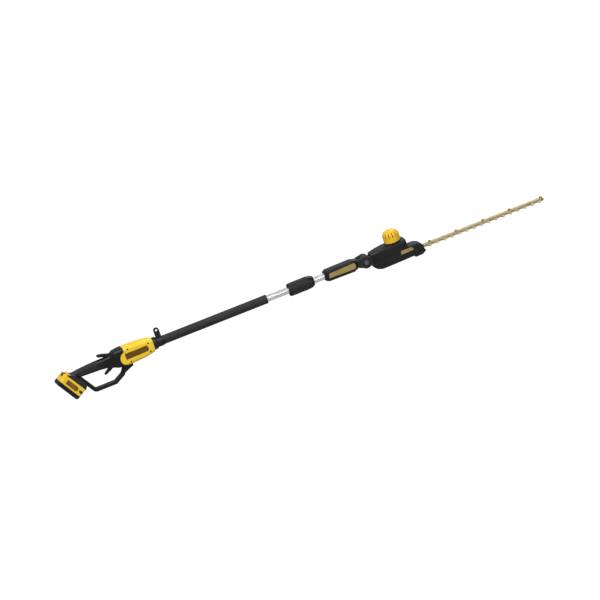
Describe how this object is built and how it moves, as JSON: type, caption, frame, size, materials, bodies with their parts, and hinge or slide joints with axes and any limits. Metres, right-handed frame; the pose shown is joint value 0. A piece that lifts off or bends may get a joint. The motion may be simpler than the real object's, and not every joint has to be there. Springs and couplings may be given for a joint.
{
  "type": "pole hedge trimmer",
  "caption": "Cordless pole hedge trimmer: battery rear handle with D guard, foam-gripped pole, coupler, tilting motor head and reciprocating toothed blades.",
  "frame": {"origin": "centre of the strap eye above the pole, where the tool is slung", "axes": "+X along the pole to the blade tip, +Z to the side of the motor cap, +Y to the left of the user"},
  "size_m": [2.1768, 0.076, 0.1835],
  "materials": {
    "black_plastic": "fine-textured moulded nylon",
    "yellow_plastic": "moulded, satin",
    "cap_plastic": "moulded, satin",
    "soft_grip": "soft overmould",
    "foam": "closed-cell foam",
    "name_plate": "blank printed plate, dark",
    "tan_plate": "blank printed plate, tan",
    "pole_metal": "drawn, clear anodised",
    "cast_metal": "die cast",
    "steel": "zinc plated",
    "blade_steel": "ground, coated",
    "brass": "stamped",
    "copper_winding": "enamelled wire",
    "cell_wrap": "shrink wrap",
    "board": "circuit board",
    "wire_cover": "insulation"
  },
  "bodies": {
    "handle": {"handle_shell_left": "black_plastic", "handle_shell_right": "black_plastic", "body_cover_left": "yellow_plastic", "body_cover_right": "yellow_plastic", "grip_sleeve": "soft_grip", "body_plates": "name_plate", "handle_screws": "steel", "lever_pins": "steel", "switch_module": "black_plastic", "controller_module": "board", "handle_wiring": "wire_cover", "terminal_block": "black_plastic", "terminal_blades": "brass", "pack_rails": "steel", "body_collar": "black_plastic", "strap_bracket_left": "black_plastic", "strap_bracket_right": "black_plastic", "strap_bracket_bolts": "steel", "lower_tube": "pole_metal", "foam_grip": "foam", "coupler_socket": "black_plastic"},
    "trigger": {"trigger": "black_plastic", "trigger_spring": "steel"},
    "lock_off": {"lock_off_lever": "black_plastic", "lock_off_spring": "steel"},
    "battery": {"pack_case_upper": "yellow_plastic", "pack_case_lower": "black_plastic", "pack_cells": "cell_wrap", "pack_cell_holder": "black_plastic"},
    "battery_latch": {"pack_latch_button": "black_plastic"},
    "front_pole": {"coupler_spigot": "black_plastic", "coupler_seal": "soft_grip", "upper_tube": "pole_metal", "upper_wiring": "wire_cover", "neck_shell_left": "black_plastic", "neck_shell_right": "black_plastic", "neck_plates": "tan_plate", "neck_screws": "steel", "pivot_yoke": "cast_metal", "pivot_pin": "steel", "tilt_button_spring": "steel"},
    "coupler_collar": {"coupler_collar": "black_plastic"},
    "tilt_button": {"tilt_button": "steel"},
    "head": {"knuckle": "cast_metal", "detent_plate": "steel", "head_shell_upper": "black_plastic", "head_shell_lower": "black_plastic", "head_plates": "tan_plate", "motor_cap": "cap_plastic", "motor_stator": "copper_winding", "head_bearings": "steel", "gear_case": "cast_metal", "head_screws": "steel", "nose_guard": "black_plastic", "blade_bar": "blade_steel", "blade_bolts": "steel"},
    "rotor": {"motor_rotor": "steel"},
    "crank": {"crank_gear": "steel"},
    "upper_blade": {"upper_blade": "blade_steel"},
    "lower_blade": {"lower_blade": "blade_steel"}
  },
  "joints": [
    {"name": "battery_slide", "type": "slide", "parent": "handle", "child": "battery", "axis": [-0.5299, 0, 0.848], "range_m": [0, 0.1]},
    {"name": "battery_latch_press", "type": "slide", "parent": "battery", "child": "battery_latch", "axis": [-0.848, 0, -0.5299], "range_m": [0, 0.003], "stiffness_N_per_m": 600, "springref_m": -0.002},
    {"name": "trigger_pull", "type": "hinge", "parent": "handle", "child": "trigger", "pos_m": [-0.2205, 0, -0.066], "axis": [0, 1, 0], "range_deg": [0, 14], "stiffness_Nm_per_rad": 0.25, "springref_deg": -14.32},
    {"name": "lock_off_press", "type": "hinge", "parent": "handle", "child": "lock_off", "pos_m": [-0.2255, 0, -0.029], "axis": [0, -1, 0], "range_deg": [0, 13], "stiffness_Nm_per_rad": 0.25, "springref_deg": -14.32},
    {"name": "front_pole_slide", "type": "slide", "parent": "handle", "child": "front_pole", "axis": [1, 0, 0], "range_m": [0, 0.06]},
    {"name": "coupler_collar_turn", "type": "hinge", "parent": "front_pole", "child": "coupler_collar", "pos_m": [0.6225, 0, -0.049], "axis": [1, 0, 0], "range_deg": [0, 720]},
    {"name": "tilt_button_press", "type": "slide", "parent": "front_pole", "child": "tilt_button", "axis": [0, 1, 0], "range_m": [0, 0.0035], "stiffness_N_per_m": 900, "springref_m": -0.002},
    {"name": "head_tilt", "type": "hinge", "parent": "front_pole", "child": "head", "pos_m": [0.9155, 0, -0.052], "axis": [0, -1, 0], "range_deg": [-90, 90]},
    {"name": "crank_spin", "type": "hinge", "parent": "head", "child": "crank", "pos_m": [1.0835, 0, -0.069], "axis": [0, 0, 1], "continuous": true},
    {"name": "rotor_spin", "type": "hinge", "parent": "head", "child": "rotor", "pos_m": [1.0535, 0, -0.029], "axis": [0, 0, 1], "continuous": true},
    {"name": "upper_blade_stroke", "type": "slide", "parent": "head", "child": "upper_blade", "axis": [1, 0, 0], "range_m": [-0.0045, 0.0045]},
    {"name": "lower_blade_stroke", "type": "slide", "parent": "head", "child": "lower_blade", "axis": [1, 0, 0], "range_m": [-0.0045, 0.0045]}
  ],
  "couplings": [
    {"joint": "rotor_spin", "follows": "crank_spin", "ratio": -5},
    {"joint": "lower_blade_stroke", "follows": "upper_blade_stroke", "ratio": -1}
  ]
}
